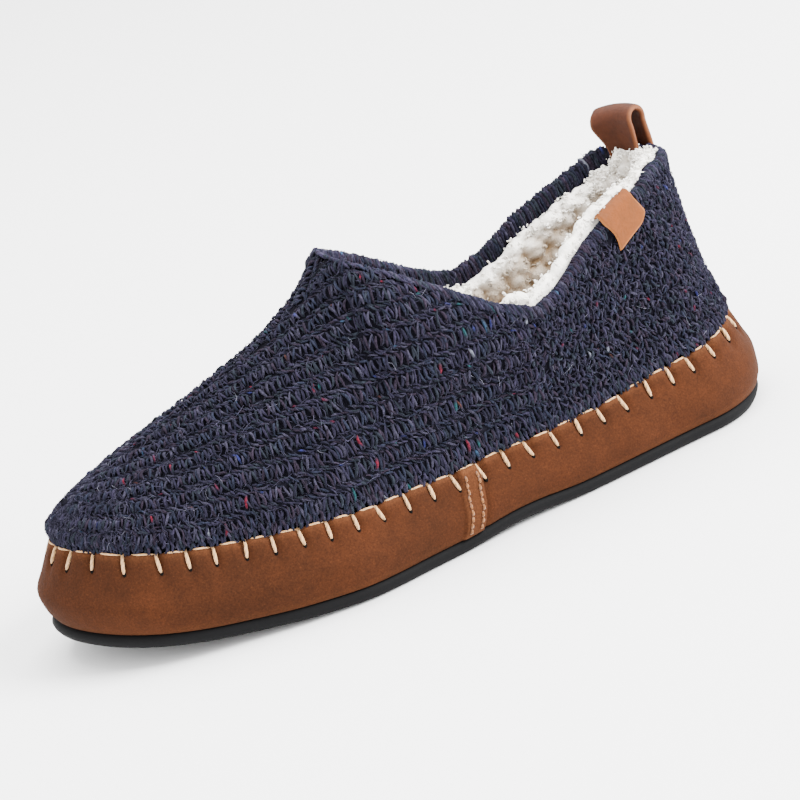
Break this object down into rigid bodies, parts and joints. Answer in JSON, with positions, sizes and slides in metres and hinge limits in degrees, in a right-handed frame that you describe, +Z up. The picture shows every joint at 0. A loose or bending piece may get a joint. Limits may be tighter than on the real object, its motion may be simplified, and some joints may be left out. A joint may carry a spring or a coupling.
{
  "type": "moccasin slipper",
  "caption": "Closed-back house slipper for the left foot with a navy tweed knit upper, brown suede wrap, rubber outsole, leather heel loop and side tab",
  "frame": {"origin": "bottom centre of the slipper's bounding box, on the floor", "axes": "+Z up, +X toward the heel, -X toward the toe, -Y toward the outer (lateral) side"},
  "size_m": [0.27, 0.1073, 0.108],
  "materials": {
    "sole_rubber": "matte black rubber",
    "footbed_foam": "fleece covered foam",
    "suede": "brown suede with a short nap",
    "wool_knit": "chunky navy tweed wool knit",
    "brown_leather": "smooth oiled leather",
    "tan_leather": "smooth undyed leather"
  },
  "bodies": {
    "root": {"outsole": "sole_rubber", "insole": "footbed_foam", "front_wrap": "suede", "heel_wrap": "suede", "knit_upper": "wool_knit", "pull_loop": "brown_leather", "side_tab": "tan_leather"}
  },
  "joints": []
}
